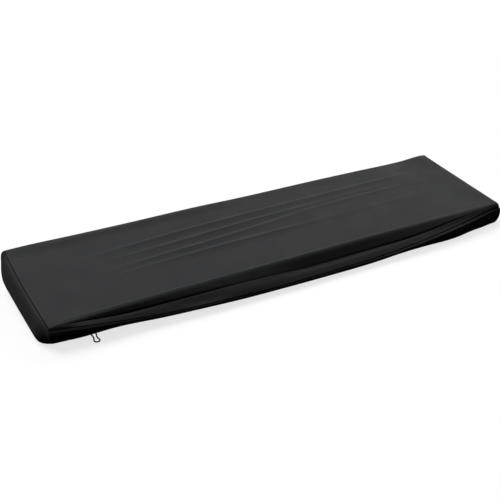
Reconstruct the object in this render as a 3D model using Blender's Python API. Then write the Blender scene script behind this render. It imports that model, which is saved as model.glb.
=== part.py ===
"""Fitted dust cover for a full-length stage keyboard, in thin black stretch knit.

The cover is modelled as it sits on the instrument, which is left out. It has
three pieces: a top panel that falls over the front edge in a long slack drape,
a side band sewn round it whose lower edge is drawn in under the base, and the
loop of the drawcord that shows at the front left. The origin is in the middle
of the top panel's underside, where the instrument's top carries the cloth.
Heights in the tables are measured from the base; +X is the right-hand end and
+Y is the back. Everything is in metres, but the tables are in millimetres.
"""

import math

import bpy
import numpy as np

for item in list(bpy.data.objects):
    bpy.data.objects.remove(item, do_unlink=True)

MM = 0.001

# Size of the cover at its top edges, over the instrument
LENGTH = 1.340
DEPTH = 0.334
BACK_HEIGHT = 0.096
FRONT_HEIGHT = 0.058
SHEET = 0.0010
SEAM_GAP = 0.0006
EVENING_PASSES = 8

# The left-hand edge bows out between its corners, and the back edge rides up and dips along its length
LEFT_BOW = 0.0035
LEFT_BOW_REACH = 0.150
BACK_RISE_COLUMNS = ("x", "rise")
BACK_RISE = (
    (-670, 3.8),
    (-620, 4.7),
    (-500, 3.4),
    (-340, 2.8),
    (-130, 3.5),
    (-30, 1.8),
    (270, 1.5),
    (390, 0.6),
    (570, -0.8),
    (650, 2.0),
    (670, 0.2),
)
BACK_RISE_REACH = 0.045
RIGHT_RISE = 0.0018
RIGHT_RISE_REACH = 0.060

# Rim of the top panel: how far in from each edge it starts to bend, and how far it drops
RIM_WIDTH = 0.005
RIM_DROP = 0.0012
RIM_TURN = math.radians(72)
RIGHT_BEND = 0.0035
RIGHT_DROP = 0.0125
RIGHT_FALL_POWER = 1.6
RIGHT_LEAN = 0.001
FRONT_BEND = 0.016
FRONT_SWELL_AT = 0.010
FRONT_SWELL = 0.0003
BROW_BACK = 0.003

# Drape over the front edge, from left to right, in millimetres from the straight front edge:
# the brow is where the cloth tips over, the crease is the groove under it, the lip is the slack
# shelf that hangs out below the crease, and the seam joins the panel to the band
FRONT_COLUMNS = (
    "x",
    "brow_drop",
    "crease_out",
    "crease_drop",
    "lip_out",
    "lip_drop",
    "seam_out",
    "seam_drop",
)
FRONT = (
    (-670, 0.2, 1.0, 1.2, 2.4, 2.6, 4.0, 5.0),
    (-640, 0.5, 1.0, 2.2, 3.4, 4.6, 5.4, 8.0),
    (-600, 1.4, 1.5, 5.6, 7.0, 8.8, 11.5, 11.7),
    (-500, 3.0, 3.5, 14.6, 10.5, 16.6, 19.0, 23.0),
    (-400, 3.4, 6.0, 15.4, 16.0, 22.4, 26.0, 31.3),
    (-300, 3.4, 8.5, 15.4, 22.0, 28.0, 32.0, 33.6),
    (-200, 3.4, 11.0, 16.0, 26.0, 26.6, 36.5, 36.7),
    (-100, 3.8, 12.5, 19.2, 26.5, 27.8, 39.0, 38.6),
    (0, 4.2, 12.0, 24.2, 26.5, 28.8, 39.5, 37.9),
    (100, 4.2, 12.0, 24.0, 26.0, 28.8, 39.0, 37.3),
    (200, 4.2, 12.5, 23.2, 25.0, 27.0, 38.5, 36.3),
    (300, 3.0, 14.5, 21.2, 23.5, 25.4, 35.5, 32.5),
    (400, 1.8, 13.0, 16.8, 19.5, 21.0, 30.0, 26.4),
    (500, 0.9, 8.0, 9.0, 13.0, 14.6, 21.0, 19.8),
    (600, 0.4, 3.5, 4.0, 6.5, 6.8, 10.5, 11.8),
    (640, 0.3, 1.2, 2.8, 3.4, 5.6, 5.8, 9.6),
    (670, 0.3, 1.2, 2.5, 2.8, 7.0, 4.6, 12.5),
)
# Where the start of the bend, the swell, the brow, the crease, the lip and the seam lie along the drape
FRONT_KNOTS = (0.0, 0.2, 0.36, 0.56, 0.78, 1.0)
# From here on along the drape the panel's front corners are rounded in plan
CORNER_FROM = 0.8
TINY = 1e-9

# Lower part of the band along the front, in millimetres: how far out its curve is pulled at the
# base, and how far back under from there it first lies flat
BELLY_COLUMNS = ("x", "pull", "tuck")
BELLY = (
    (-670, -3.0, 26.0),
    (-640, 0.0, 28.0),
    (-600, 3.5, 30.0),
    (-500, -4.0, 30.0),
    (-400, 7.0, 26.0),
    (-300, 18.8, 24.0),
    (-200, 26.6, 22.0),
    (-100, 30.1, 20.0),
    (0, 35.1, 20.0),
    (200, 37.2, 20.0),
    (300, 31.4, 20.0),
    (400, 34.5, 20.0),
    (450, 38.0, 20.0),
    (500, 36.4, 20.0),
    (560, 26.9, 20.0),
    (600, 22.7, 18.0),
    (640, 16.5, 16.0),
    (670, 11.7, 12.0),
)
BACK_PULL = 0.002
BACK_TUCK = 0.020
# Pull of the two ends, at the back and at the front
LEFT_PULL = (0.022, 0.034)
RIGHT_PULL = (0.014, 0.0015)
# How far the band first follows the way the panel leaves the seam, as a share of its height
SEAM_PULL = 0.36
# Plan radius of the band's lower corners: front left, front right, back left, back right
LOW_CORNERS = {(-1, -1): 0.044, (1, -1): 0.008, (-1, 1): 0.022, (1, 1): 0.022}
CORNER_FAN = 0.056
LEAST_CORNER = 0.008

# Hem turned under the base, with the drawcord's channel at its edge
HEM_WIDTH = 0.014
CHANNEL_WIDTH = 0.009
CHANNEL_THICKNESS = 0.0030
HEM_LIFT = 0.0016
GATHERS = 21
GATHER_HEIGHT = 0.0007

# Long folds across the top, from back to front: crest line and height at points from left to right
FOLD_COLUMNS = ("x", "crest", "height")
FOLDS = (
    (
        (-540, 54, 0.0),
        (-440, 58, 1.3),
        (-360, 63, 3.0),
        (-200, 73, 3.4),
        (-40, 79, 2.6),
        (120, 83, 1.8),
        (440, 90, 1.0),
        (560, 92, 0.0),
    ),
    (
        (-500, 21, 0.0),
        (-440, 22, 0.6),
        (-360, 25, 1.8),
        (-200, 33, 3.1),
        (-40, 44, 2.6),
        (120, 50, 1.2),
        (340, 57, 0.5),
        (560, 60, 0.0),
    ),
    (
        (-510, -22, 0.0),
        (-440, -18, 0.6),
        (-360, -13, 2.2),
        (-200, -4, 3.0),
        (-40, 10, 2.3),
        (120, 28, 0.9),
        (300, 36, 1.0),
        (560, 38, 0.0),
    ),
    (
        (-510, -46, 0.0),
        (-440, -43, 0.6),
        (-360, -40, 1.5),
        (-160, -33, 2.8),
        (0, -30, 2.0),
        (140, -29, 0.8),
        (440, -23, 0.4),
        (560, -22, 0.0),
    ),
)
FOLD_BACK = 0.012
FOLD_FRONT = 0.026
FOLD_FALL_POWER = 2.2

# Short fold along the back edge, at the left
BACK_FOLD = ((-590, 146, 0.0), (-530, 149, 1.2), (-400, 153, 2.0), (-250, 154, 1.2), (-60, 154, 0.0))

# Rows of the top panel lie along the folds: shares of the way between two neighbouring lines
ROWS_BEHIND = (0.0, 0.14, 0.3, 0.5, 0.7, 0.85, 0.93)
ROWS_BETWEEN = (0.0, 0.2, 0.42, 0.64, 0.83)
ROWS_BEFORE = (0.0, 0.07, 0.16, 0.3, 0.55, 0.8)
ROWS_OVER = (0.0, 0.1, 0.2, 0.29, 0.38, 0.47, 0.56, 0.64, 0.72, 0.8, 0.9, 1.0)
RIM_STEPS = (1.0, 0.414)
RIGHT_STEPS = (0.4, 0.7, 1.0)
COLUMN_STEP = 0.055
END_COLUMNS = (0.0, 0.010, 0.024, 0.042)
END_ROW_STEP = 3
END_ROWS_KEPT = 7
FRONT_ROWS_KEPT = 15
STATION_GAP = 0.0012

# Rows of the band, as shares of its curve from the seam to where it lies flat under the base
BAND_SHARES = (0.0, 0.05, 0.14, 0.27, 0.42, 0.57, 0.72, 0.87, 1.0)

# Loop of the drawcord, from the right strand over the tip to the left strand, in millimetres:
# along X from the loop's middle, forward of the strands' ends, and centre height
CORD_DIAMETER = 0.0034
CORD_X = -0.568
CORD_START_Y = -0.1604
CORD_ROUTE = (
    (6.0, -1.0, 3.4),
    (5.2, 3.2, 3.6),
    (4.3, 7.2, 3.3),
    (3.6, 10.8, 2.8),
    (3.6, 14.5, 2.3),
    (4.1, 18.1, 2.0),
    (5.0, 21.7, 1.9),
    (5.2, 25.4, 1.9),
    (3.7, 28.8, 1.9),
    (0.6, 30.8, 1.9),
    (-3.1, 30.7, 1.9),
    (-6.1, 28.7, 1.9),
    (-7.6, 25.4, 1.9),
    (-7.3, 21.7, 1.9),
    (-6.1, 18.2, 1.9),
    (-5.0, 14.6, 1.9),
    (-4.3, 11.0, 2.0),
    (-4.1, 7.3, 2.4),
    (-4.4, 3.2, 2.9),
    (-5.0, -1.0, 3.4),
)
CORD_STEP = 0.004


def through(x, knots, values):
    """Smooth curve through the knots, held level beyond the first and the last."""
    knots = np.asarray(knots, float)
    values = np.asarray(values, float)
    slopes = np.gradient(values, knots)
    x = np.clip(np.asarray(x, float), knots[0], knots[-1])
    cell = np.clip(np.searchsorted(knots, x, side="right") - 1, 0, len(knots) - 2)
    width = knots[cell + 1] - knots[cell]
    t = (x - knots[cell]) / width
    rise = values[cell + 1] - values[cell]
    start = slopes[cell] * width
    end = slopes[cell + 1] * width
    return values[cell] + t * (start + t * (3 * rise - 2 * start - end + t * (start + end - 2 * rise)))


def from_table(table, columns, name, x):
    """One named column of a table in millimetres, read at x in metres and given in metres."""
    rows = np.asarray(table, float)
    return through(x, rows[:, 0] * MM, rows[:, columns.index(name)] * MM)


def top_height(y):
    """Height of the flat top above the base, which slopes down towards the front."""
    return FRONT_HEIGHT + (BACK_HEIGHT - FRONT_HEIGHT) * (y + DEPTH / 2) / DEPTH


MOUNT_HEIGHT = top_height(0.0) - SHEET


def share_back(y):
    """How far along the depth a point is, from 0 at the front edge to 1 at the back edge."""
    return np.clip((y + DEPTH / 2) / DEPTH, 0, 1)


def fold_height(x, y):
    """Raised height of all the folds: each rises in a short wave behind its crest and falls before it,
    fast at first, as a power of what is left of its width."""
    total = np.zeros_like(y)
    for fold in FOLDS + (BACK_FOLD,):
        from_crest = y - from_table(fold, FOLD_COLUMNS, "crest", x)
        width = np.where(from_crest > 0, FOLD_BACK, FOLD_FRONT)
        reach = np.clip(np.abs(from_crest) / width, 0, 1)
        behind = np.cos(reach * math.pi / 2) ** 2
        ridge = np.where(from_crest > 0, behind, (1 - reach) ** FOLD_FALL_POWER)
        total = total + from_table(fold, FOLD_COLUMNS, "height", x) * ridge
    from_back = np.clip((DEPTH / 2 - y) / BACK_RISE_REACH, 0, 1)
    rise = from_table(BACK_RISE, BACK_RISE_COLUMNS, "rise", x)
    from_right = np.clip((LENGTH / 2 - x) / RIGHT_RISE_REACH, 0, 1)
    total = total + rise * np.cos(from_back * math.pi / 2) ** 2
    return total + RIGHT_RISE * np.cos(from_right * math.pi / 2) ** 2


def bow(x, y):
    """How far a point near the left-hand end is carried out by the bow of that edge."""
    nearness = np.clip(1 - (x + LENGTH / 2) / LEFT_BOW_REACH, 0, 1)
    return LEFT_BOW * nearness * np.clip(1 - (2 * y / DEPTH) ** 2, 0, 1)


def plain_rim(share):
    """Outward place and drop of the left and back rims, for shares of the bend from 0 to 1."""
    out = RIM_WIDTH * (np.sin(RIM_TURN * share) / math.sin(RIM_TURN) - 1)
    drop = RIM_DROP * (1 - np.cos(RIM_TURN * share)) / (1 - math.cos(RIM_TURN))
    return out, drop


def right_rim(share, y):
    """The right-hand rim, which falls further towards the front before it meets its seam."""
    to_front = 1 - share_back(y)
    out = -RIGHT_BEND * (1 - share) ** 2 + RIGHT_LEAN * share * to_front
    drop = (RIM_DROP + (RIGHT_DROP - RIM_DROP) * to_front) * share ** RIGHT_FALL_POWER
    return out, drop


def front_rim(share, x):
    """The drape over the front edge, from where the cloth starts to bend down to the seam."""
    def column(name):
        return from_table(FRONT, FRONT_COLUMNS, name, x)

    level = np.zeros_like(x)
    outs = (level - FRONT_BEND, level - FRONT_SWELL_AT, level - BROW_BACK)
    outs = np.array(outs + (column("crease_out"), column("lip_out"), column("seam_out")))
    drops = (level, level - FRONT_SWELL, column("brow_drop"))
    drops = np.array(drops + (column("crease_drop"), column("lip_drop"), column("seam_drop")))
    out = np.array([through(share[i], FRONT_KNOTS, outs[:, i]) for i in range(len(x))])
    drop = np.array([through(share[i], FRONT_KNOTS, drops[:, i]) for i in range(len(x))])
    return out, drop


def panel_columns():
    """Nominal x of each column, with how far it is into the left and the right rim."""
    left_start = -LENGTH / 2 + RIM_WIDTH
    right_start = LENGTH / 2 - RIGHT_BEND
    ends = [left_start + step for step in END_COLUMNS]
    count = round((right_start - left_start - 2 * END_COLUMNS[-1]) / COLUMN_STEP)
    middle = np.linspace(ends[-1], right_start - END_COLUMNS[-1], count + 1)[1:-1]
    inner = ends + list(middle) + [right_start - step for step in reversed(END_COLUMNS)]
    x = [left_start] * len(RIM_STEPS) + inner + [right_start] * len(RIGHT_STEPS)
    left = list(RIM_STEPS) + [0.0] * (len(inner) + len(RIGHT_STEPS))
    right = [0.0] * (len(RIM_STEPS) + len(inner)) + list(RIGHT_STEPS)
    return np.array(x), np.array(left), np.array(right)


def panel_rows(x):
    """Each row as its y along the columns, with how far it is into the back and the front rim."""
    back_line = np.full_like(x, DEPTH / 2 - RIM_WIDTH)
    front_line = np.full_like(x, -DEPTH / 2 + FRONT_BEND)
    crests = [from_table(fold, FOLD_COLUMNS, "crest", x) for fold in FOLDS]
    lines = [back_line] + crests + [front_line]
    shares = [ROWS_BEHIND] + [ROWS_BETWEEN] * (len(crests) - 1) + [ROWS_BEFORE]
    rows = [(back_line, step, 0.0) for step in RIM_STEPS]
    for i in range(len(lines) - 1):
        rows += [(lines[i] + (lines[i + 1] - lines[i]) * share, 0.0, 0.0) for share in shares[i]]
    rows += [(front_line, 0.0, share) for share in ROWS_OVER]
    return rows


def panel_grid():
    """Outer face of the top panel, one line of points for each row from back to front."""
    x, left, right = panel_columns()
    across = np.maximum(left, right)
    grid = []
    for y, back, front in panel_rows(x):
        along = max(back, (front - CORNER_FROM) / (1 - CORNER_FROM), 0.0)
        length = np.hypot(across, along)
        rounding = np.where(length > 0, np.maximum(across, along) / np.maximum(length, TINY), 1)
        left_out, left_drop = plain_rim(left * rounding)[0], plain_rim(left)[1]
        right_out, right_drop = right_rim(right * rounding, y)[0], right_rim(right, y)[1]
        px = x - np.where(left > 0, RIM_WIDTH + left_out, 0) + np.where(right > 0, RIGHT_BEND + right_out, 0)
        side_drop = np.where(left > 0, left_drop, np.where(right > 0, right_drop, 0))
        side_end = np.where(right > 0, right_rim(1.0, y)[1], RIM_DROP)
        rounded = along * rounding
        if front > 0:
            over = min(front, CORNER_FROM) + rounded * (1 - CORNER_FROM)
            py = -DEPTH / 2 - front_rim(over, x)[0]
            edge_drop = front_rim(np.full_like(x, front), x)[1]
            edge_end = from_table(FRONT, FRONT_COLUMNS, "seam_drop", x)
        elif back > 0:
            py = DEPTH / 2 + plain_rim(rounded)[0]
            edge_drop = np.full_like(x, plain_rim(back)[1])
            edge_end = RIM_DROP
        else:
            py = y
            edge_drop = np.zeros_like(x)
            edge_end = RIM_DROP
        drop = side_drop + edge_drop - side_drop * edge_drop / np.maximum(side_end, edge_end)
        px = px - bow(px, py)
        pz = top_height(np.maximum(py, -DEPTH / 2)) - drop + fold_height(px, py)
        grid.append(np.stack([px, py, pz], axis=1))
    return np.array(grid)


def face_normals(grid):
    """Outward unit normals of a grid of points, evened out so that the inner face never folds over."""
    normals = np.cross(np.gradient(grid, axis=0), np.gradient(grid, axis=1))
    for _ in range(EVENING_PASSES):
        normals = normals / np.linalg.norm(normals, axis=2, keepdims=True)
        for axis in (0, 1):
            size = normals.shape[axis]
            before = np.take(normals, np.maximum(np.arange(size) - 1, 0), axis=axis)
            after = np.take(normals, np.minimum(np.arange(size) + 1, size - 1), axis=axis)
            normals = before + 2 * normals + after
    return normals / np.linalg.norm(normals, axis=2, keepdims=True)


def solid_sheet(name, outer, inner, closed):
    """Closed sheet between two grids of points: both faces and a narrow wall along each edge."""
    rows, columns = outer.shape[:2]
    count = rows * columns
    points = np.concatenate([outer.reshape(-1, 3), inner.reshape(-1, 3)])

    def corner(i, j, face):
        return face * count + i * columns + j % columns

    faces = []
    last = columns if closed else columns - 1
    for i in range(rows - 1):
        for j in range(last):
            around = ((i, j), (i + 1, j), (i + 1, j + 1), (i, j + 1))
            faces.append([corner(*place, 0) for place in around])
            faces.append([corner(*place, 1) for place in reversed(around)])
    walls = [((0, j + 1), (0, j)) for j in range(last)]
    walls += [((rows - 1, j), (rows - 1, j + 1)) for j in range(last)]
    if not closed:
        walls += [((i, 0), (i + 1, 0)) for i in range(rows - 1)]
        walls += [((i + 1, columns - 1), (i, columns - 1)) for i in range(rows - 1)]
    for first, second in walls:
        faces.append([corner(*first, 0), corner(*first, 1), corner(*second, 1), corner(*second, 0)])
    mesh = bpy.data.meshes.new(name)
    mesh.from_pydata([tuple(point) for point in points - np.array([0, 0, MOUNT_HEIGHT])], [], faces)
    mesh.validate()
    mesh.shade_smooth()
    sheet = bpy.data.objects.new(name, mesh)
    bpy.context.scene.collection.objects.link(sheet)
    return sheet


def cloth_material(name, colour, roughness):
    """Plain black cloth."""
    material = bpy.data.materials.new(name)
    material.use_nodes = True
    shader = material.node_tree.nodes["Principled BSDF"]
    shader.inputs["Base Color"].default_value = (*colour, 1.0)
    shader.inputs["Roughness"].default_value = roughness
    shader.inputs["Metallic"].default_value = 0.0
    return material


def end_rows(grid, column):
    """Rows that end in a station of the seam, from front to back: most near the corners, few between."""
    last_row = len(grid) - 1
    kept = [last_row]
    for i in range(last_row - 1, 0, -1):
        wanted = i > last_row - FRONT_ROWS_KEPT or i < END_ROWS_KEPT or i % END_ROW_STEP == 0
        if wanted and np.linalg.norm(grid[i, column] - grid[kept[-1], column]) > STATION_GAP:
            kept.append(i)
    return kept[1:]


def panel_edge(grid, normals):
    """Seam line round the panel, anticlockwise from the front left, with the way the cloth leaves it."""
    last_row = len(grid) - 1
    last_column = grid.shape[1] - 1
    places = [(last_row, j, 1, 0) for j in range(last_column + 1)]
    places += [(i, last_column, 0, 1) for i in end_rows(grid, last_column)]
    places += [(0, j, -1, 0) for j in range(last_column, -1, -1)]
    places += [(i, 0, 0, -1) for i in reversed(end_rows(grid, 0))]
    points = []
    facing = []
    leaving = []
    for i, j, row_way, column_way in places:
        corner_row = i in (0, last_row)
        corner_column = j in (0, last_column)
        inside_row = i - (1 if i == last_row else -1) * corner_row
        inside_column = j - (1 if j == last_column else -1) * corner_column
        way = grid[i, j] - grid[inside_row, inside_column]
        way = way - normals[i, j] * (way @ normals[i, j])
        points.append(grid[i, j])
        facing.append(normals[i, j])
        leaving.append(way / np.linalg.norm(way))
    return np.array(points), np.array(facing), np.array(leaving)


def belly(name, x, y, at_back):
    """A size of the band's lower part: the front table's value, eased to the back's."""
    share = share_back(y)
    return from_table(BELLY, BELLY_COLUMNS, name, x) * (1 - share) + at_back * share


def fan_point(from_x, from_y, fan, radius):
    """Where a ray from the middle of a corner's fan meets the rounded corner."""
    scale = fan / max(from_x, from_y)
    straight = fan - radius
    if min(from_x, from_y) * scale > straight:
        both = straight * (from_x + from_y)
        square = from_x ** 2 + from_y ** 2
        scale = (both + math.sqrt(both ** 2 - square * (2 * straight ** 2 - radius ** 2))) / square
    return from_x * scale, from_y * scale


def low_ring(points, inset):
    """Plan of the pulled-out line at the base, moved in by an inset, and the way out at each point."""
    ring = []
    outward = []
    for (x, y, _), moved_in in zip(points, inset):
        side = -1 if x < 0 else 1
        end = -1 if y < 0 else 1
        back_pull, front_pull = LEFT_PULL if side < 0 else RIGHT_PULL
        end_pull = front_pull + (back_pull - front_pull) * share_back(y)
        edge_pull = from_table(BELLY, BELLY_COLUMNS, "pull", x) if end < 0 else BACK_PULL
        reach_x = LENGTH / 2 + end_pull - moved_in
        reach_y = DEPTH / 2 + edge_pull - moved_in
        fan = CORNER_FAN - moved_in
        from_x = abs(x) - (reach_x - fan)
        from_y = abs(y) - (reach_y - fan)
        if from_x > 0 and from_y > 0:
            radius = min(max(LOW_CORNERS[side, end] - moved_in, LEAST_CORNER), fan)
            out_x, out_y = fan_point(from_x, from_y, fan, radius)
            px, py = reach_x - fan + out_x, reach_y - fan + out_y
            way = (from_x, from_y)
        elif from_x > from_y:
            px, py = reach_x, abs(y)
            way = (1.0, 0.0)
        else:
            px, py = abs(x), reach_y
            way = (0.0, 1.0)
        ring.append((side * px, end * py))
        outward.append((side * way[0] / math.hypot(*way), end * way[1] / math.hypot(*way), 0.0))
    return np.array(ring), np.array(outward)


def band_grid(seam, leaving):
    """Outer face of the band, one closed ring of points for each row from the seam to the hem's edge."""
    tuck = belly("tuck", seam[:, 0], seam[:, 1], BACK_TUCK)
    level = np.zeros(len(seam))
    pulled, outward = low_ring(seam, level)
    droop = leaving[:, 2]
    for _ in range(EVENING_PASSES):
        droop = (np.roll(droop, 1) + 2 * droop + np.roll(droop, -1)) / 4
    even_way = outward * np.sqrt(1 - droop ** 2)[:, None] + np.array([0, 0, 1.0]) * droop[:, None]
    start = seam + leaving * SEAM_GAP
    after_start = start + even_way * start[:, 2:] * SEAM_PULL
    before_end = np.column_stack([pulled, level])
    end = np.column_stack([low_ring(seam, tuck)[0], level])
    rows = []
    for share in BAND_SHARES:
        rest = 1 - share
        bend = 3 * rest ** 2 * share * after_start + 3 * rest * share ** 2 * before_end
        rows.append(rest ** 3 * start + bend + share ** 3 * end)
    around = np.linspace(0, 2 * math.pi, len(seam), endpoint=False)
    gather = GATHER_HEIGHT * np.sin(GATHERS * around)
    for share in ((HEM_WIDTH - CHANNEL_WIDTH) / HEM_WIDTH, 1.0):
        plan = low_ring(seam, tuck + HEM_WIDTH * share)[0]
        rows.append(np.column_stack([plan, (HEM_LIFT + gather) * share]))
    return np.array(rows)


def band_facing(grid, outward):
    """Outward unit normals of the band, each in the upright plane that runs out through its point."""
    along = np.gradient(grid, axis=0)
    out = np.einsum("ijk,jk->ij", along, outward)
    normals = outward[None] * -along[:, :, 2:] + np.array([0, 0, 1.0]) * out[:, :, None]
    return normals / np.linalg.norm(normals, axis=2, keepdims=True)


def build_cloth():
    """The top panel and the band, sewn edge to edge."""
    outer = panel_grid()
    normals = face_normals(outer)
    panel = solid_sheet("top_panel", outer, outer - normals * SHEET, closed=False)
    panel.data.materials.append(cloth_material("top_cloth", (0.018, 0.019, 0.021), 0.75))
    seam, facing, leaving = panel_edge(outer, normals)
    outer = band_grid(seam, leaving)
    normals = band_facing(outer, low_ring(seam, np.zeros(len(seam)))[1])
    normals[0] = facing
    thickness = np.full(len(outer), SHEET)
    thickness[-1] = CHANNEL_THICKNESS
    inner = outer - normals * thickness[:, None, None]
    band = solid_sheet("side_band", outer, inner, closed=True)
    band.data.materials.append(cloth_material("band_cloth", (0.014, 0.015, 0.017), 0.78))


def build_cord():
    """Loop of round cord whose two ends go back into the hem's channel."""
    route = np.array([(CORD_X + x * MM, y * MM, z * MM) for x, y, z in CORD_ROUTE])
    steps = np.linalg.norm(np.diff(route, axis=0), axis=1)
    along = np.concatenate([[0], np.cumsum(steps)])
    reach = np.linspace(0, along[-1], round(along[-1] / CORD_STEP) + 1)
    line = np.column_stack([through(reach, along, route[:, i]) for i in range(3)])
    curve = bpy.data.curves.new("drawcord", "CURVE")
    curve.dimensions = "3D"
    spline = curve.splines.new("POLY")
    spline.points.add(len(line) - 1)
    for point, (x, forward, z) in zip(spline.points, line):
        point.co = (x, CORD_START_Y - forward, z - MOUNT_HEIGHT, 1.0)
    curve.bevel_depth = CORD_DIAMETER / 2
    curve.bevel_resolution = 2
    curve.use_fill_caps = True
    cord = bpy.data.objects.new("drawcord", curve)
    bpy.context.scene.collection.objects.link(cord)
    curve.materials.append(cloth_material("black_cord", (0.012, 0.012, 0.013), 0.7))


build_cloth()
build_cord()
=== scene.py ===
"""Looks of the fitted keyboard dust cover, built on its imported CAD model.

The cover is shown in the shape that it has in use, and is hollow inside. The object's
frame has its origin under the middle of the top panel, +X to the right-hand end,
+Y to the back and +Z up. Sizes are in metres, and tables are in millimetres.
"""

import math

import bpy
import numpy as np
from mathutils import Matrix, Vector


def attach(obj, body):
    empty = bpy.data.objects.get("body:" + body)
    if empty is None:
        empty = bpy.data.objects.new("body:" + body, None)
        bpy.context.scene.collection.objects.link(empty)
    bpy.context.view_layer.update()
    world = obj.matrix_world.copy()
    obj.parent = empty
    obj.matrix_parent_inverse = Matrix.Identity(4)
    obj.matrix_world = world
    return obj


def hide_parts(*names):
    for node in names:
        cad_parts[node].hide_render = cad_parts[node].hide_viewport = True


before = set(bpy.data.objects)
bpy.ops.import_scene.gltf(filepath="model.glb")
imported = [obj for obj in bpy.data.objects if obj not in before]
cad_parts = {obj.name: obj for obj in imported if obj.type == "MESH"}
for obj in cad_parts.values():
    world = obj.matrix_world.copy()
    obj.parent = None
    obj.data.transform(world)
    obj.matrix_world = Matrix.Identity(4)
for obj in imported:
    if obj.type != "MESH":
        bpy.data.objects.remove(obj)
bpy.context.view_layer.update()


# CAMERA
# It stands in front of the left-hand end, a little over a metre above the floor, with a mild
# telephoto lens.
eye = Vector((-1.06909, -1.75032, 0.98070))
turn = math.radians(-29.857)
lift = math.radians(27.191)
away = Vector((math.sin(turn) * math.cos(lift), -math.cos(turn) * math.cos(lift), math.sin(lift)))
sideways = Vector((math.cos(turn), math.sin(turn), 0.0))
upright = away.cross(sideways)
lens = bpy.data.cameras.new("camera")
lens.lens = 60.866
lens.sensor_width = 36.0
camera = bpy.data.objects.new("camera", lens)
camera.matrix_world = Matrix.Translation(eye) @ Matrix((sideways, upright, away)).transposed().to_4x4()
bpy.context.scene.collection.objects.link(camera)
bpy.context.scene.camera = camera


# DRAWCORD
# Thin round braided cord of black polyester. It runs in the hem's channel all the way round, and
# comes out at the front left in one short loop, which lies on the ground in front of the band.
base_height = -0.076
millimetre = 0.001
tiny = 1e-12
up = np.array([0, 0, 1.0])
cord_diameter = 0.0034
cord_middle_x = -0.568
cord_leaves_y = -0.1604
cord_points, cord_sides = 180, 20
braid_dent = 0.12
cord_black = (0.010, 0.010, 0.011)
cord_route = (
    (6.0, -1.0, 3.4),
    (5.2, 3.2, 3.6),
    (4.3, 7.2, 3.3),
    (3.6, 10.8, 2.8),
    (3.6, 14.5, 2.3),
    (4.1, 18.1, 2.0),
    (5.0, 21.7, 1.9),
    (5.2, 25.4, 1.9),
    (3.7, 28.8, 1.9),
    (0.6, 30.8, 1.9),
    (-3.1, 30.7, 1.9),
    (-6.1, 28.7, 1.9),
    (-7.6, 25.4, 1.9),
    (-7.3, 21.7, 1.9),
    (-6.1, 18.2, 1.9),
    (-5.0, 14.6, 1.9),
    (-4.3, 11.0, 2.0),
    (-4.1, 7.3, 2.4),
    (-4.4, 3.2, 2.9),
    (-5.0, -1.0, 3.4),
)


def through(x, knots, values):
    """Smooth curve through the knots, level beyond the ends: cubic pieces whose slope at a knot is
    the mean slope round it. values may have one more axis, one set of values for each column of x."""
    knots = np.asarray(knots, float)
    values = np.asarray(values, float)
    slopes = np.gradient(values, knots, axis=0)
    x = np.clip(x, knots[0], knots[-1])
    cell = np.clip(np.searchsorted(knots, x, side="right") - 1, 0, len(knots) - 2)
    width = knots[cell + 1] - knots[cell]
    t = (x - knots[cell]) / width
    column = () if values.ndim == 1 else (np.broadcast_to(np.arange(values.shape[1]), x.shape),)
    start, end = slopes[(cell, *column)] * width, slopes[(cell + 1, *column)] * width
    before, after = values[(cell, *column)], values[(cell + 1, *column)]
    rise = after - before
    return before + t * (start + t * (3 * rise - 2 * start - end + t * (start + end - 2 * rise)))


def unit(vectors):
    """The vectors of the last axis at length one."""
    return vectors / np.maximum(np.linalg.norm(vectors, axis=-1, keepdims=True), tiny)


def walked_along(points):
    """Length walked down the first axis, from the first point to each point."""
    steps = np.linalg.norm(np.diff(points, axis=0), axis=-1)
    return np.concatenate([np.zeros((1,) + steps.shape[1:]), np.cumsum(steps, axis=0)])


def cord_line(route, count, finer=40):
    """Evenly spaced points on the smooth curve through the route, in the object's frame, and the curve's
    length. A row of the route is in millimetres: sideways from the middle of the loop, forwards from
    where the cord leaves the hem, and up from the ground."""
    side, forward, height = (np.array(route) * millimetre).T
    points = np.column_stack([side + cord_middle_x, cord_leaves_y - forward, height + base_height])
    reach = walked_along(points)
    dense = np.linspace(0, reach[-1], finer * count)
    dense = np.column_stack([through(dense, reach, points[:, k]) for k in range(3)])
    walked = walked_along(dense)
    even = np.linspace(0, walked[-1], count)
    return np.column_stack([np.interp(even, walked, dense[:, k]) for k in range(3)]), walked[-1]


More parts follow.
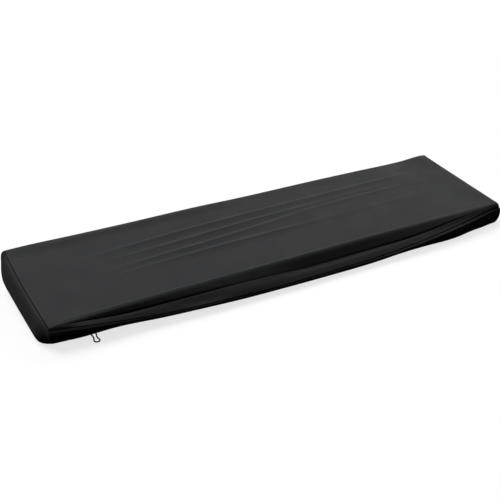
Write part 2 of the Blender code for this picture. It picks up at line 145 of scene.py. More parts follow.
def braided_tube(name, line, length, diameter, lays, strands):
    """Round cord along a line. Its radius is the full radius less a dent where neither of two sets
    of strands, wound opposite ways round the line, stands out."""
    around = np.linspace(0, 2 * math.pi, cord_sides, endpoint=False)[None, :]
    along = np.linspace(0, length, len(line))[:, None]
    ahead = unit(np.gradient(line, axis=0))
    side = unit(np.cross(ahead, up))
    top = np.cross(side, ahead)
    wind = 2 * math.pi * along / lays
    one_way = np.abs(np.sin((around * strands + wind) / 2))
    other_way = np.abs(np.sin((around * strands - wind) / 2))
    radius = diameter / 2 * (1 - braid_dent + braid_dent * np.maximum(one_way, other_way))
    out = side[:, None] * np.cos(around)[..., None] + top[:, None] * np.sin(around)[..., None]
    tube = line[:, None] + out * radius[..., None]
    rings, sides = tube.shape[:2]
    i, j = np.meshgrid(np.arange(rings - 1), np.arange(sides), indexing="ij")
    k = (j + 1) % sides
    quads = np.stack([i * sides + j, i * sides + k, (i + 1) * sides + k, (i + 1) * sides + j], axis=-1)
    caps = [list(range(sides))[::-1], list(range((rings - 1) * sides, rings * sides))]
    mesh = bpy.data.meshes.new(name)
    mesh.from_pydata(tube.reshape(-1, 3).tolist(), [], quads.reshape(-1, 4).tolist() + caps)
    uv = mesh.uv_layers.new(name="surface")
    place = np.zeros((len(mesh.loops), 2))
    corners = np.zeros(len(mesh.loops), int)
    mesh.loops.foreach_get("vertex_index", corners)
    place[:, 0] = (corners // sides) / (rings - 1) * length
    place[:, 1] = (corners % sides) / sides * math.pi * diameter
    uv.data.foreach_set("uv", place.ravel())
    mesh.shade_smooth()
    cord = bpy.data.objects.new(name, mesh)
    bpy.context.scene.collection.objects.link(cord)
    return cord


def shader_of(name, colour, roughness):
    """New material with a plain Principled shader, and its node tree."""
    material = bpy.data.materials.new(name)
    material.use_nodes = True
    tree = material.node_tree
    shader = tree.nodes["Principled BSDF"]
    shader.inputs["Base Color"].default_value = (*colour, 1.0)
    shader.inputs["Roughness"].default_value = roughness
    return material, tree, shader


def add(tree, kind, **settings):
    """New node with its properties, and its sockets of these names, set."""
    node = tree.nodes.new(kind)
    for name, value in settings.items():
        if hasattr(node, name):
            setattr(node, name, value)
        else:
            node.inputs[name.replace("_", " ")].default_value = value
    return node


line, cord_length = cord_line(cord_route, cord_points)
drawcord = braided_tube("drawcord_loop", line, cord_length, cord_diameter, lays=0.0032, strands=6)
braid, tree, shader = shader_of("braided_cord", cord_black, roughness=0.6)
shader.inputs["Sheen Weight"].default_value = 0.2
place = add(tree, "ShaderNodeTexCoord")
fibre = add(tree, "ShaderNodeTexNoise", Scale=1800.0, Detail=3.0)
raised = add(tree, "ShaderNodeBump", Strength=0.5, Distance=0.0001)
tree.links.new(place.outputs["Object"], fibre.inputs["Vector"])
tree.links.new(fibre.outputs["Fac"], raised.inputs["Height"])
tree.links.new(raised.outputs["Normal"], shader.inputs["Normal"])
drawcord.data.materials.append(braid)
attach(drawcord, "root")
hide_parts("drawcord")


# TOP PANEL
# One rectangle of thin black warp-knit stretch cloth with a soft sheen. It lies flat, is turned in at
# its edges to meet the band, and falls over the front in one long drape: a brow where it tips over,
# a groove under that, and a slack lip that hangs out down to the seam.
top_length, top_depth = 1.340, 0.334
back_height, front_height = 0.096, 0.058
cloth = 0.0010
edges = {
    "rim": 0.0028,
    "rim_drop": 0.0012,
    "rim_turn": math.radians(72),
    "right_bend": 0.0035,
    "right_drop": 0.0125,
    "right_power": 1.6,
    "right_lean": 0.001,
    "left_bow": 0.0035,
    "bow_reach": 0.150,
    "right_rise": 0.0018,
    "right_reach": 0.060,
    "back_reach": 0.045,
}
back_rise = (
    (-670, 3.8), (-620, 4.7), (-500, 3.4), (-340, 2.8), (-130, 3.5), (-30, 1.8),
    (270, 1.5), (390, 0.6), (570, -0.8), (650, 2.0), (670, 0.2),
)
drape_columns = (
    "x", "brow_drop", "crease_out", "crease_drop", "lip_out", "lip_drop", "seam_out", "seam_drop",
)
drape = (
    (-670, 0.2, 1.0, 1.2, 2.4, 2.6, 4.0, 5.0),
    (-640, 0.5, 1.0, 2.2, 3.4, 4.6, 5.4, 8.0),
    (-600, 1.4, 1.5, 5.6, 7.0, 8.8, 11.5, 11.7),
    (-500, 3.0, 3.5, 14.6, 10.5, 16.6, 19.0, 23.0),
    (-400, 3.4, 6.0, 15.4, 16.0, 22.4, 26.0, 31.3),
    (-300, 3.4, 8.5, 15.4, 22.0, 28.0, 32.0, 33.6),
    (-200, 3.4, 11.0, 16.0, 26.0, 26.6, 36.5, 36.7),
    (-100, 3.8, 12.5, 19.2, 26.5, 27.8, 39.0, 38.6),
    (0, 4.2, 12.0, 24.2, 26.5, 28.8, 39.5, 37.9),
    (100, 4.2, 12.0, 24.0, 26.0, 28.8, 39.0, 37.3),
    (200, 4.2, 12.5, 23.2, 25.0, 27.0, 38.5, 36.3),
    (300, 3.0, 14.5, 21.2, 23.5, 25.4, 35.5, 32.5),
    (400, 1.8, 13.0, 16.8, 19.5, 21.0, 30.0, 26.4),
    (500, 0.9, 8.0, 9.0, 13.0, 14.6, 21.0, 19.8),
    (600, 0.4, 3.5, 4.0, 6.5, 6.8, 10.5, 11.8),
    (640, 0.3, 1.2, 2.8, 3.4, 5.6, 5.8, 9.6),
    (670, 0.3, 1.2, 2.5, 2.8, 7.0, 4.6, 12.5),
)
drape_knots = (0.0, 0.2, 0.36, 0.56, 0.78, 1.0)
drape_bend, drape_swell_at, drape_swell, brow_back = 0.016, 0.010, 0.0003, 0.003
corner_from = 0.8
groove_depth = (
    (-662, 0.0), (-630, 1.6), (-560, 3.6), (-420, 4.2), (-320, 3.2), (-200, 1.6),
    (0, 1.4), (150, 2.4), (350, 3.4), (500, 2.6), (620, 1.2), (664, 0.0),
)
groove_at, groove_width = 0.570, 0.030
groove_out, groove_down = 0.8, 0.6
fold_columns = ("x", "crest", "height")
folds = (
    (
        (-540, 54, 0.0), (-440, 58, 1.3), (-360, 63, 3.0), (-200, 73, 3.4),
        (-40, 79, 2.6), (120, 83, 1.8), (440, 90, 1.0), (560, 92, 0.0),
    ),
    (
        (-500, 21, 0.0), (-440, 22, 0.6), (-360, 25, 1.8), (-200, 33, 3.1),
        (-40, 44, 2.6), (120, 50, 1.2), (340, 57, 0.5), (560, 60, 0.0),
    ),
    (
        (-510, -22, 0.0), (-440, -18, 0.6), (-360, -13, 2.2), (-200, -4, 3.0),
        (-40, 10, 2.3), (120, 28, 0.9), (300, 36, 1.0), (560, 38, 0.0),
    ),
    (
        (-510, -46, 0.0), (-440, -43, 0.6), (-360, -40, 1.5), (-160, -33, 2.8),
        (0, -30, 2.0), (140, -29, 0.8), (440, -23, 0.4), (560, -22, 0.0),
    ),
)
back_fold = ((-590, 146, 0.0), (-530, 149, 1.2), (-400, 153, 2.0), (-250, 154, 1.2), (-60, 154, 0.0))
fold_behind, fold_before, fold_fall_power = 0.012, 0.026, 2.2
top_black, top_lit = (0.0129, 0.0135, 0.0149), (0.0177, 0.0185, 0.0202)
# seam_shade is the share of the colour kept where the seam is darkened as painted shade.
yarn_in_relief, weave_in_tint, seam_shade = 0.5, 0.5, 0.2


def from_table(table, columns, name, x):
    """One named column of a table in millimetres, as metres at x in metres."""
    rows = np.asarray(table, float) * millimetre
    return through(x, rows[:, 0], rows[:, columns.index(name)])


def top_height(y):
    """Height of the flat top above the base: it slopes down evenly to the front."""
    return front_height + (back_height - front_height) * (y + top_depth / 2) / top_depth


def share_back(y):
    """0 at the top's front edge, 1 at its back edge."""
    return np.clip((y + top_depth / 2) / top_depth, 0, 1)


def bell(x, middle, width):
    """One at the middle, and e to the power of minus the square of the distance from it in widths."""
    return np.exp(-(((x - middle) / width) ** 2))


def soft_ridge(distance, behind, before):
    """One at the crest. It falls to nothing behind as the square of a cosine, and in front fast at
    first, as a power of what is left of its width."""
    reach = np.clip(np.abs(distance) / np.where(distance > 0, behind, before), 0, 1)
    return np.where(distance > 0, np.cos(reach * math.pi / 2) ** 2, (1 - reach) ** fold_fall_power)


def fold_height(x, y):
    """Sum of the soft ridges along the crests of the folds, with the rise of the back and right edges."""
    total = np.zeros_like(y)
    for fold in folds + (back_fold,):
        ridge = soft_ridge(y - from_table(fold, fold_columns, "crest", x), fold_behind, fold_before)
        total = total + from_table(fold, fold_columns, "height", x) * ridge
    from_back = np.clip((top_depth / 2 - y) / edges["back_reach"], 0, 1)
    from_right = np.clip((top_length / 2 - x) / edges["right_reach"], 0, 1)
    total = total + from_table(back_rise, ("x", "rise"), "rise", x) * np.cos(from_back * math.pi / 2) ** 2
    return total + edges["right_rise"] * np.cos(from_right * math.pi / 2) ** 2


def plain_rim(share):
    """Left and back rims: an arc of an ellipse from level to the turn where it meets the seam."""
    turn = edges["rim_turn"]
    out = edges["rim"] * (np.sin(turn * share) / math.sin(turn) - 1)
    return out, edges["rim_drop"] * (1 - np.cos(turn * share)) / (1 - math.cos(turn))


def right_rim(share, y):
    """Right rim: it falls as a power of the share, further towards the front."""
    to_front = 1 - share_back(y)
    out = edges["right_lean"] * share * to_front - edges["right_bend"] * (1 - share) ** 2
    fall = edges["rim_drop"] + (edges["right_drop"] - edges["rim_drop"]) * to_front
    return out, fall * share ** edges["right_power"]


def front_drape(share, x):
    """Profile over the front edge at each x: the smooth curve out and down through the bend, swell,
    brow, crease, lip and seam."""
    level = np.zeros_like(x)
    column = {name: from_table(drape, drape_columns, name, x) for name in drape_columns[1:]}
    outs = [level - drape_bend, level - drape_swell_at, level - brow_back]
    outs += [column["crease_out"], column["lip_out"], column["seam_out"]]
    drops = [level, level - drape_swell, column["brow_drop"]]
    drops += [column["crease_drop"], column["lip_drop"], column["seam_drop"]]
    return through(share, drape_knots, outs), through(share, drape_knots, drops)


def groove(share, x):
    """Sharp crease under the brow: a bell-shaped trough across the drape, deep at the left."""
    return from_table(groove_depth, ("x", "depth"), "depth", x) * bell(share, groove_at, groove_width)


def panel_surface(columns, rows):
    """Outer face of the panel. Every row runs along the folds: its y is a share of the way between two
    crest lines. The rims are rounded in plan at the corners by the share of their diagonal, and the
    drops at a corner add as two slopes that meet."""
    x, left, right = columns
    y, back, front = rows
    along = np.maximum(np.maximum(back, (front - corner_from) / (1 - corner_from)), 0)
    across = np.maximum(left, right)
    length = np.hypot(across, along)
    rounding = np.where(length > 0, np.maximum(across, along) / np.maximum(length, tiny), 1)
    left_out, left_drop = plain_rim(left * rounding)[0], plain_rim(left)[1]
    right_out, right_drop = right_rim(right * rounding, y)[0], right_rim(right, y)[1]
    side_drop = np.where(left > 0, left_drop, np.where(right > 0, right_drop, 0))
    side_end = np.where(right > 0, right_rim(1.0, y)[1], edges["rim_drop"])
    rounded = along * rounding
    over = np.minimum(front, corner_from) + rounded * (1 - corner_from)
    front_out = front_drape(np.broadcast_to(over, y.shape), x[0])[0] - groove_out * groove(front, x)
    front_drop = front_drape(np.broadcast_to(front, y.shape), x[0])[1] + groove_down * groove(front, x)
    py = np.where(back > 0, top_depth / 2 + plain_rim(rounded)[0], y)
    py = np.where(front > 0, -top_depth / 2 - front_out, py)
    edge_drop = np.where(front > 0, front_drop, np.where(back > 0, plain_rim(back)[1], 0))
    edge_end = np.where(front > 0, from_table(drape, drape_columns, "seam_drop", x), edges["rim_drop"])
    px = x - np.where(left > 0, edges["rim"] + left_out, 0)
    px = px + np.where(right > 0, edges["right_bend"] + right_out, 0)
    nearness = np.clip(1 - (px + top_length / 2) / edges["bow_reach"], 0, 1)
    px = px - edges["left_bow"] * nearness * np.clip(1 - (2 * py / top_depth) ** 2, 0, 1)
    drop = side_drop + edge_drop - side_drop * edge_drop / np.maximum(side_end, edge_end)
    pz = top_height(np.maximum(py, -top_depth / 2)) - drop + fold_height(px, py)
    return np.stack([px, py, pz + base_height], axis=-1)


def even_normals(grid, passes):
    """Outward normals of a grid, averaged with their neighbours so that the inner face stays smooth."""
    normals = np.cross(np.gradient(grid, axis=0), np.gradient(grid, axis=1))
    for _ in range(passes):
        normals = unit(normals)
        for axis in (0, 1):
            size = normals.shape[axis]
            before = np.take(normals, np.maximum(np.arange(size) - 1, 0), axis=axis)
            after = np.take(normals, np.minimum(np.arange(size) + 1, size - 1), axis=axis)
            normals = before + 2 * normals + after
    return unit(normals)


def turned_in(grid, normals, depths):
    """The grid with a border of two more points on every side, where the cloth turns in at the seam: each
    is the edge point moved a hair on the way the cloth was going and a depth inwards."""
    for axis in (0, 1):
        for end in (0, -1):
            edge, inside = np.take(grid, end, axis), np.take(grid, 1 if end == 0 else -2, axis)
            facing = np.take(normals, end, axis)
            way = edge - inside
            way = unit(way - facing * np.sum(way * facing, axis=-1, keepdims=True))
            rows = [edge + way * ahead - facing * depth for ahead, depth in depths]
            ways = [unit(facing + way), way]
            if end == 0:
                rows, ways = rows[::-1], ways[::-1]
            rows, ways = np.stack(rows, axis), np.stack(ways, axis)
            grid = np.concatenate([rows, grid] if end == 0 else [grid, rows], axis=axis)
            normals = np.concatenate([ways, normals] if end == 0 else [normals, ways], axis=axis)
    return grid, normals


def cloth_sheet(name, outer, inner, u, v, ring, painted_seam_shade):
    """Closed sheet between two grids of points: quads on both faces and a wall of quads along each free
    edge. Its map holds metres along the cloth's length in u and across it in v. The last argument is one
    where the cloth is turned in and along the seam: it goes into the turned_in attribute, the mask where
    the material darkens the colour as painted shade."""
    rows, columns = outer.shape[:2]
    last = columns if ring else columns - 1
    i, j = (part.ravel() for part in np.meshgrid(np.arange(rows - 1), np.arange(last), indexing="ij"))
    square_i = np.stack([i, i + 1, i + 1, i], axis=-1)
    square_j = np.stack([j, j, j + 1, j + 1], axis=-1)
    wall_i = [np.zeros((last, 2), int), np.full((last, 2), rows - 1)]
    steps = np.arange(last)
    wall_j = [np.stack([steps + 1, steps], axis=-1), np.stack([steps, steps + 1], axis=-1)]
    if not ring:
        steps = np.arange(rows - 1)
        wall_i += [np.stack([steps, steps + 1], axis=-1), np.stack([steps + 1, steps], axis=-1)]
        wall_j += [np.zeros((rows - 1, 2), int), np.full((rows - 1, 2), columns - 1)]
    wall_i, wall_j = np.concatenate(wall_i), np.concatenate(wall_j)
    face_i = np.concatenate([square_i, square_i[:, ::-1], wall_i[:, [0, 0, 1, 1]]])
    face_j = np.concatenate([square_j, square_j[:, ::-1], wall_j[:, [0, 0, 1, 1]]])
    wall_layer = np.tile([0, 1, 1, 0], (len(wall_i), 1))
    layer = np.concatenate([np.zeros_like(square_i), np.ones_like(square_i), wall_layer])
    corners = layer * rows * columns + face_i * columns + face_j % columns
    points = np.concatenate([outer.reshape(-1, 3), inner.reshape(-1, 3)])
    mesh = bpy.data.meshes.new(name)
    mesh.from_pydata(points.tolist(), [], corners.tolist())
    place = np.stack([u[face_i, face_j], v[face_i, face_j % columns]], axis=-1)
    surface = mesh.uv_layers.new(name="surface")
    surface.data.foreach_set("uv", place.ravel())
    # The turned_in attribute is the mask of painted shade along the seam: the material darkens the colour
    # where it is one.
    turned = mesh.attributes.new("turned_in", "FLOAT", "POINT")
    turned.data.foreach_set("value", np.tile(painted_seam_shade.ravel(), 2))
    mesh.shade_smooth()
    sheet = bpy.data.objects.new(name, mesh)
    bpy.context.scene.collection.objects.link(sheet)
    return sheet


def knit_cloth(name, colour, lit_colour, sheen):
    """Black warp-knit stretch cloth: fine upright ribs crossed by rows of loops, as a bump in metres on
    the cloth's own map, over a slow unevenness of the yarn in colour, gloss and height. Where the
    turned_in attribute is one, along the seam, the colour is darkened: painted shade for the seam's
    shadow."""
    material, tree, shader = shader_of(name, colour, roughness=0.7)
    shader.inputs["Specular IOR Level"].default_value = 0.18
    shader.inputs["Sheen Weight"].default_value = sheen
    shader.inputs["Sheen Roughness"].default_value = 0.45
    link = tree.links.new
    place = add(tree, "ShaderNodeTexCoord")
    ribs = add(tree, "ShaderNodeTexWave", bands_direction="X", Scale=242.0, Distortion=0.4, Detail=1.0)
    loops = add(tree, "ShaderNodeTexWave", bands_direction="Y", Scale=330.0, Distortion=0.4, Detail=1.0)
    yarn = add(tree, "ShaderNodeTexNoise", Scale=700.0, Detail=2.0)
    cloudy = add(tree, "ShaderNodeTexNoise", Scale=14.0, Detail=4.0)
    for texture in (ribs, loops, yarn):
        link(place.outputs["UV"], texture.inputs["Vector"])
    link(place.outputs["Object"], cloudy.inputs["Vector"])
    weave = add(tree, "ShaderNodeMath", operation="MULTIPLY")
    link(ribs.outputs["Fac"], weave.inputs[0])
    link(loops.outputs["Fac"], weave.inputs[1])
    fine = add(tree, "ShaderNodeMath", operation="MULTIPLY_ADD")
    fine.inputs[1].default_value = yarn_in_relief
    link(yarn.outputs["Fac"], fine.inputs[0])
    link(weave.outputs["Value"], fine.inputs[2])
    knit = add(tree, "ShaderNodeBump", Strength=0.6, Distance=0.00022)
    link(fine.outputs["Value"], knit.inputs["Height"])
    slack = add(tree, "ShaderNodeBump", Strength=0.35, Distance=0.002)
    link(cloudy.outputs["Fac"], slack.inputs["Height"])
    link(knit.outputs["Normal"], slack.inputs["Normal"])
    link(slack.outputs["Normal"], shader.inputs["Normal"])
    shade = add(tree, "ShaderNodeMapRange", From_Min=0.3, From_Max=0.8)
    blend = add(tree, "ShaderNodeMath", operation="MULTIPLY_ADD")
    blend.inputs[1].default_value = weave_in_tint
    link(weave.outputs["Value"], blend.inputs[0])
    link(cloudy.outputs["Fac"], blend.inputs[2])
    link(blend.outputs["Value"], shade.inputs["Value"])
    tint = add(tree, "ShaderNodeMix", data_type="RGBA")
    tint.inputs["A"].default_value = (*colour, 1.0)
    tint.inputs["B"].default_value = (*lit_colour, 1.0)
    link(shade.outputs["Result"], tint.inputs["Factor"])
    # Painted shade along the seam: the colour is darkened to a share of itself where the turned_in
    # attribute is one.
    turned = add(tree, "ShaderNodeAttribute", attribute_name="turned_in")
    shaded = add(tree, "ShaderNodeMix", data_type="RGBA")
    shaded.inputs["B"].default_value = (*(part * seam_shade for part in colour), 1.0)
    link(turned.outputs["Fac"], shaded.inputs["Factor"])
    link(tint.outputs["Result"], shaded.inputs["A"])
    link(shaded.outputs["Result"], shader.inputs["Base Color"])
    gloss = add(tree, "ShaderNodeMapRange", From_Min=0.3, From_Max=0.7, To_Min=0.62, To_Max=0.74)
    link(cloudy.outputs["Fac"], gloss.inputs["Value"])
    link(gloss.outputs["Result"], shader.inputs["Roughness"])
    return material


left_start, right_start = -top_length / 2 + edges["rim"], top_length / 2 - edges["right_bend"]
ends = np.array([0.0, 0.003, 0.006, 0.010, 0.014, 0.019])
even_from, even_columns = 0.024, 232
middle = np.linspace(left_start + even_from, right_start - even_from, even_columns)
inner_x = np.concatenate([left_start + ends, middle, right_start - ends[::-1]])
rim_shares = np.array([1.0, 0.85, 0.7, 0.55, 0.4, 0.2])
rims = len(rim_shares)
x = np.concatenate([np.full(rims, left_start), inner_x, np.full(rims, right_start)])[None]
left = np.concatenate([rim_shares, np.zeros(len(inner_x) + rims)])[None]
right = np.concatenate([np.zeros(len(inner_x) + rims), rim_shares[::-1]])[None]
back_line = np.full_like(x, top_depth / 2 - edges["rim"])
front_line = np.full_like(x, drape_bend - top_depth / 2)
lines = [back_line] + [from_table(fold, fold_columns, "crest", x) for fold in folds] + [front_line]
rows_between = (30, 12, 12, 12, 30)
spans = [
    start + (end - start) * np.linspace(0, 1, count, endpoint=False)[:, None]
    for start, end, count in zip(lines, lines[1:], rows_between)
]
flat_y = np.concatenate(spans)
drape_spans = ((0, 0.44, 15), (0.455, 0.635, 19), (0.66, 1, 17))
drape_shares = np.concatenate([np.linspace(*span) for span in drape_spans])
rim_y, drape_y = np.repeat(back_line, rims, axis=0), np.repeat(front_line, len(drape_shares), axis=0)
y = np.concatenate([rim_y, flat_y, drape_y])
back = np.concatenate([rim_shares, np.zeros(len(flat_y) + len(drape_shares))])[:, None]
front = np.concatenate([np.zeros(rims + len(flat_y)), drape_shares])[:, None]
panel_outer = panel_surface((x, left, right), (y, back, front))
panel_normals = even_normals(panel_outer, passes=40)
panel_allowance = ((0.0003, 0.0030), (0.0012, 0.0045))
outer, normals = turned_in(panel_outer, panel_normals, panel_allowance)
inner = outer - normals * cloth
# Painted shade along the seam: the turned-in border and the edge row next to it are marked, and their
# colour is darkened.
dark_border = len(panel_allowance) + 1
painted_seam_shade = np.ones(outer.shape[:2])
painted_seam_shade[dark_border:-dark_border, dark_border:-dark_border] = 0
across = walked_along(outer)
top_panel = cloth_sheet("top_panel_cloth", outer, inner, outer[:, :, 0], -across, False, painted_seam_shade)
top_knit = knit_cloth("black_top_knit", top_black, top_lit, sheen=0.06)
top_panel.data.materials.append(top_knit)
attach(top_panel, "root")
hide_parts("top_panel")


# SIDE BAND
# Long strip of the same cloth, sewn round the panel. It swells out over the sides, curves in under the
# base, and ends in a hem turned up on itself: the drawcord's channel, gathered into small puckers as
# the cord draws it in.
belly_columns = ("x", "pull", "tuck")
belly = (
    (-670, -3.0, 26.0), (-640, 0.0, 28.0), (-600, 3.5, 30.0), (-500, -4.0, 30.0), (-400, 7.0, 26.0),
    (-300, 18.8, 24.0), (-200, 26.6, 22.0), (-100, 30.1, 20.0), (0, 35.1, 20.0), (200, 37.2, 20.0),
    (300, 31.4, 20.0), (400, 34.5, 20.0), (450, 38.0, 20.0), (500, 36.4, 20.0), (560, 26.9, 20.0),
    (600, 22.7, 18.0), (640, 16.5, 16.0), (670, 11.7, 12.0),
)
back_pull, back_tuck = 0.002, 0.020
left_pull, right_pull = (0.022, 0.034), (0.014, 0.0015)
seam_gap, seam_pull = 0.0026, 0.36
least_step, droop_passes, front_facing = 0.0011, 120, 0.7
low_corners = {(-1, -1): 0.044, (1, -1): 0.008, (-1, 1): 0.022, (1, 1): 0.022}
corner_fan, least_corner = 0.056, 0.008
hem = {
    "width": 0.014,
    "thickness": 0.0030,
    "channel_from": 0.3,
    "half_turns": 0.75,
    "lift": 0.0016,
    "gathers": 21,
    "gather": 0.0007,
}
pucker = {"height": 0.0005, "count": 150, "sway": 2.0, "sways": 7, "from": 0.55}
band_creases = ((-668, 0.9), (-640, 1.1), (-600, 0.9), (-560, 0.4), (-520, 0.0))
crease = {"pitch": 0.0062, "middle": 0.011, "width": 0.008}
seam_roll = ((100, 0.0), (180, 0.8), (300, 2.0), (560, 2.6), (640, 1.8), (668, 0.6))
roll = {"middle": 0.0045, "width": 0.003}
dent = {"depth": 0.0010, "width": 0.0022}
band_black, band_lit = (0.0098, 0.0103, 0.0116), (0.0140, 0.0147, 0.0162)


def panel_edge(grid, normals):
    """Seam line round the panel, anticlockwise from the front left: points, facings, and ways out. A
    point less than the least step from the last one is left out."""
    rows, columns = grid.shape[:2]

    def side(i, j, inside_i, inside_j):
        way = grid[i, j] - grid[inside_i, inside_j]
        way = unit(way - normals[i, j] * np.sum(way * normals[i, j], axis=-1, keepdims=True))
        return grid[i, j], normals[i, j], way

    j, i = np.arange(columns), np.arange(rows - 2, 0, -1)
    inner_j = np.clip(j, 1, columns - 2)
    sides = [side(rows - 1, j, rows - 2, inner_j), side(i, columns - 1, i, columns - 2)]
    sides += [side(0, j[::-1], 1, inner_j[::-1]), side(i[::-1], 0, i[::-1], 1)]
    seam, facing, leaving = (np.concatenate(parts) for parts in zip(*sides))
    kept = [0]
    for place in range(1, len(seam)):
        if np.linalg.norm(seam[place] - seam[kept[-1]]) > least_step:
            kept.append(place)
    return seam[kept], facing[kept], leaving[kept]


def low_ring(seam, inset):
    """Plan of the line where the band is pulled out at the base, moved in by an inset. Beside a corner
    each point goes out along a ray from the middle of the corner's fan until it meets the rounded
    corner; elsewhere it goes straight out. Also gives the way out at each point."""
    x, y = seam[:, 0], seam[:, 1]
    side, end = np.where(x < 0, -1, 1), np.where(y < 0, -1, 1)
    to_back = share_back(y)
    left_out = left_pull[1] + (left_pull[0] - left_pull[1]) * to_back
    right_out = right_pull[1] + (right_pull[0] - right_pull[1]) * to_back
    front_pull = from_table(belly, belly_columns, "pull", x)
    reach_x = top_length / 2 + np.where(side < 0, left_out, right_out) - inset
    reach_y = top_depth / 2 + np.where(end < 0, front_pull, back_pull) - inset
    fan = corner_fan - inset
    from_x, from_y = np.abs(x) - (reach_x - fan), np.abs(y) - (reach_y - fan)
    corner = (from_x > 0) & (from_y > 0)
    radius = np.select([(side == s) & (end == e) for s, e in low_corners], list(low_corners.values()))
    radius = np.minimum(np.maximum(radius - inset, least_corner), fan)
    straight = fan - radius
    safe_x, safe_y = np.where(corner, from_x, 1.0), np.where(corner, from_y, 1.0)
    scale = fan / np.maximum(safe_x, safe_y)
    both, square = straight * (safe_x + safe_y), safe_x ** 2 + safe_y ** 2
    under_root = both ** 2 - square * (2 * straight ** 2 - radius ** 2)
    rounded = (both + np.sqrt(np.maximum(under_root, 0))) / square
    scale = np.where(np.minimum(safe_x, safe_y) * scale > straight, rounded, scale)
    at_end = ~corner & (from_x > from_y)
    px = np.where(corner, reach_x - fan + safe_x * scale, np.where(at_end, reach_x, np.abs(x)))
    py = np.where(corner, reach_y - fan + safe_y * scale, np.where(at_end, np.abs(y), reach_y))
    way_x, way_y = np.where(corner, safe_x, at_end), np.where(corner, safe_y, ~at_end)
    outward = unit(np.column_stack([side * way_x, end * way_y, np.zeros(len(x))]))
    return np.stack([side * px, end * py], axis=-1), outward


def round_mean(values, passes):
    """Values round the ring, averaged with their neighbours again and again."""
    for _ in range(passes):
        values = (np.roll(values, 1) + 2 * values + np.roll(values, -1)) / 4
    return values


def band_surface(seam, leaving, shares, hem_shares):
    """Outer face of the band: at each point of the seam a cubic curve leaves the way the panel does,
    is drawn to the pulled-out line at the base and lands flat under it; from there the hem goes on
    inwards, rising in waves that grow to its edge. Under the seam the face stands out in a roll at
    the right and in small creases at the left, and dips a little all along."""
    low = seam - up * base_height
    to_back = share_back(low[:, 1])
    tuck = from_table(belly, belly_columns, "tuck", low[:, 0]) * (1 - to_back) + back_tuck * to_back
    level = np.zeros(len(low))
    pulled, outward = low_ring(low, level)
    droop = round_mean(leaving[:, 2], droop_passes)
    even_way = outward * np.sqrt(1 - droop ** 2)[:, None] + up * droop[:, None]
    start = low + leaving * seam_gap
    after_start = start + even_way * start[:, 2:] * seam_pull
    before_end = np.column_stack([pulled, level])
    end = np.column_stack([low_ring(low, tuck)[0], level])
    share = shares[:, None, None]
    rest = 1 - share
    rows = rest ** 3 * start + 3 * rest ** 2 * share * after_start
    rows = rows + 3 * rest * share ** 2 * before_end + share ** 3 * end
    around = walked_along(low)
    turn = 2 * math.pi * around / (around[-1] + np.linalg.norm(low[0] - low[-1]))
    gather = hem["gather"] * np.sin(hem["gathers"] * turn)
    swaying = pucker["sway"] * np.sin(pucker["sways"] * turn)
    puckers = pucker["height"] * (1 + np.sin(pucker["count"] * turn + swaying))
    below = walked_along(rows)
    in_front = (low[:, 1] < 0) & (np.abs(outward[:, 0]) < front_facing)
    rolled = from_table(seam_roll, ("x", "height"), "height", low[:, 0]) * in_front
    stand = rolled * bell(below, roll["middle"], roll["width"])
    stand = stand - dent["depth"] * bell(below, 0, dent["width"])
    creased = from_table(band_creases, ("x", "height"), "height", low[:, 0]) * in_front
    ripples = creased * np.cos(below * 2 * math.pi / crease["pitch"])
    stand = stand + ripples * bell(below, crease["middle"], crease["width"])
    rows = rows + outward * stand[..., None]
    fade = np.clip((shares - pucker["from"]) / (1 - pucker["from"]), 0, 1)[:, None] ** 2
    rows[:, :, 2] += puckers * fade
    hem_plans = [low_ring(low, tuck + hem["width"] * part)[0] for part in hem_shares]
    hem_heights = [(hem["lift"] + gather) * part + puckers for part in hem_shares]
    hem_rows = [np.column_stack([plan, height]) for plan, height in zip(hem_plans, hem_heights)]
    grid = np.concatenate([rows, np.array(hem_rows)])
    return grid + up * base_height, outward, around


def band_normals(grid, outward):
    """Outward normals of the band, each in the upright plane that runs out through its point."""
    along = np.gradient(grid, axis=0)
    out = np.einsum("ijk,jk->ij", along, outward)
    return unit(outward[None] * -along[:, :, 2:] + up * out[:, :, None])


seam, facing, leaving = panel_edge(panel_outer, panel_normals)
band_rows, row_crowding = 40, 1.5
shares = np.linspace(0, 1, band_rows) ** row_crowding
hem_shares = np.array([0.15, 0.3, 0.36, 0.45, 0.58, 0.72, 0.85, 0.95, 1.0])
band_outer, outward, around = band_surface(seam, leaving, shares, hem_shares)
band_normal = band_normals(band_outer, outward)
band_normal[0] = facing
facing_shares = np.array([0.8, 0.6, 0.4, 0.2, 0.1])
eased = slice(1, 1 + len(facing_shares))
band_normal[eased] = unit(band_normal[eased] + facing * facing_shares[:, None, None])
channel = np.clip((hem_shares - hem["channel_from"]) / (1 - hem["channel_from"]), 0, 1)
hem_thickness = cloth + (hem["thickness"] - cloth) * np.sin(channel * math.pi * hem["half_turns"]) ** 2
thickness = np.concatenate([np.full(len(shares), cloth), hem_thickness])
inner = band_outer - band_normal * thickness[:, None, None]
band_allowance = ((0.0054, 0.0050), (0.0052, 0.0010), (0.0030, 0.0003))
tucked = [band_outer[0] - facing * depth - leaving * behind for depth, behind in band_allowance]
slanted = unit(leaving - facing) * cloth
slant_lengths = (1.4, 1.2)
tucked_inner = [tucked[0] - facing * cloth]
tucked_inner += [edge + slanted * length for edge, length in zip(tucked[1:], slant_lengths)]
outer = np.concatenate([tucked, band_outer])
inner = np.concatenate([tucked_inner, inner])
down = walked_along(outer)
ring_u = np.concatenate([around, [around[-1] + np.linalg.norm(seam[0] - seam[-1])]])
band_u = np.tile(ring_u, (len(outer), 1))
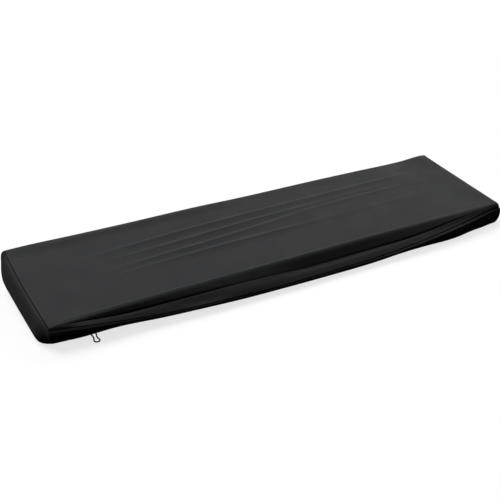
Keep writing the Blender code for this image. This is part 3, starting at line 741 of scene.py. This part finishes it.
# Painted shade along the seam: the tucked rows and the first band rows under the seam are marked, and
# their colour is darkened.
dark_rows = len(band_allowance) + 2
painted_seam_shade = np.zeros(outer.shape[:2])
painted_seam_shade[:dark_rows] = 1
side_band = cloth_sheet("side_band_cloth", outer, inner, band_u, -down, True, painted_seam_shade)
band_knit = knit_cloth("black_band_knit", band_black, band_lit, sheen=0.04)
side_band.data.materials.append(band_knit)
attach(side_band, "root")
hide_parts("side_band")


# FLOOR AND LIGHT
# A plain white floor at the base, in a room that looks white and gives little light. The light is
# soft: a broad one from above and behind at the left, a lower and weaker one from behind at the
# right, and a faint one from high in front.
half, floor_gap = 20, 0.0002
floor_grey, white = (0.25, 0.25, 0.25), (1.0, 1.0, 1.0, 1.0)
floor_mesh = bpy.data.meshes.new("floor")
floor_corners = [(-half, -half, 0), (half, -half, 0), (half, half, 0), (-half, half, 0)]
floor_mesh.from_pydata(floor_corners, [], [(0, 1, 2, 3)])
floor = bpy.data.objects.new("floor", floor_mesh)
floor.location = (0, 0, base_height - floor_gap)
bpy.context.scene.collection.objects.link(floor)
pale, tree, shader = shader_of("pale_floor", floor_grey, roughness=0.9)
shader.inputs["Specular IOR Level"].default_value = 0.1
shader.inputs["Emission Color"].default_value = white
shader.inputs["Emission Strength"].default_value = 0.75
floor_mesh.materials.append(pale)
floor.visible_diffuse = False
floor.visible_glossy = False


def soft_sun(name, towards, strength, spread):
    """Even light from one side of the room: the light comes from the given way, spread by an angle."""
    sun = bpy.data.lights.new(name, "SUN")
    sun.energy = strength
    sun.angle = math.radians(spread)
    lamp = bpy.data.objects.new(name, sun)
    lamp.rotation_euler = Vector(towards).to_track_quat("Z", "Y").to_euler()
    bpy.context.scene.collection.objects.link(lamp)


soft_sun("light_above", (-0.26, 0.51, 0.819), strength=2.9, spread=45)
soft_sun("light_before", (0.15, -0.22, 0.964), strength=0.4, spread=40)
soft_sun("light_behind", (0.64, 0.64, 0.423), strength=0.9, spread=45)
room = bpy.data.worlds.new("room")
room.use_nodes = True
air = room.node_tree.nodes["Background"]
air.inputs["Color"].default_value = white
seen = add(room.node_tree, "ShaderNodeLightPath")
glow = add(room.node_tree, "ShaderNodeMapRange", To_Min=0.02, To_Max=1.0)
room.node_tree.links.new(seen.outputs["Is Camera Ray"], glow.inputs["Value"])
room.node_tree.links.new(glow.outputs["Result"], air.inputs["Strength"])
bpy.context.scene.world = room
bpy.context.scene.view_settings.view_transform = "Standard"
